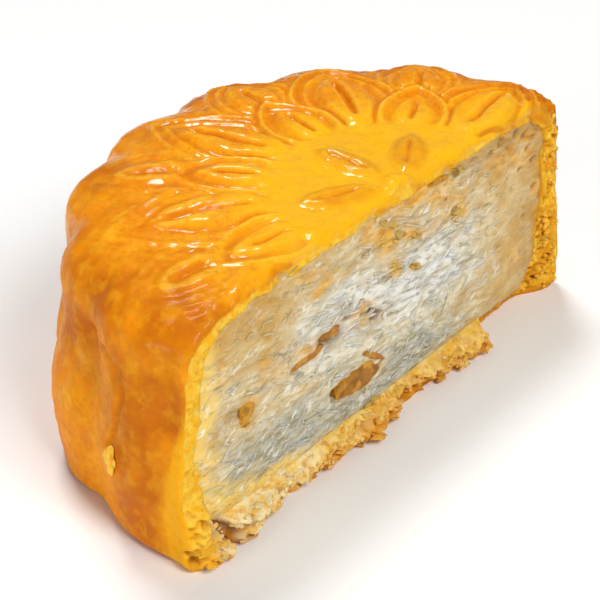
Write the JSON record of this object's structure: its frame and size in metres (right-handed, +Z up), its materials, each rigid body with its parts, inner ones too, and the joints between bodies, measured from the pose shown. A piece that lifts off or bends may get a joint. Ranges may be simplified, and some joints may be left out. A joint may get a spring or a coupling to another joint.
{
  "type": "half coconut mooncake",
  "caption": "Mooncake cut in half upright: a glazed golden crust moulded with petals and scallops round a pale shredded coconut filling.",
  "frame": {"origin": "bottom centre of the bounding box, on the plane that the base rests on", "axes": "+Z up, +X along the cut face, -Y out of the cut face"},
  "size_m": [0.0764, 0.0414, 0.0318],
  "materials": {
    "baked_crust": "golden baked crust with an egg-wash gloss, browner at the shoulder and wall",
    "coconut_paste": "moist, slightly translucent pale paste with white shreds"
  },
  "bodies": {
    "root": {"crust": "baked_crust", "coconut_filling": "coconut_paste"}
  },
  "joints": []
}
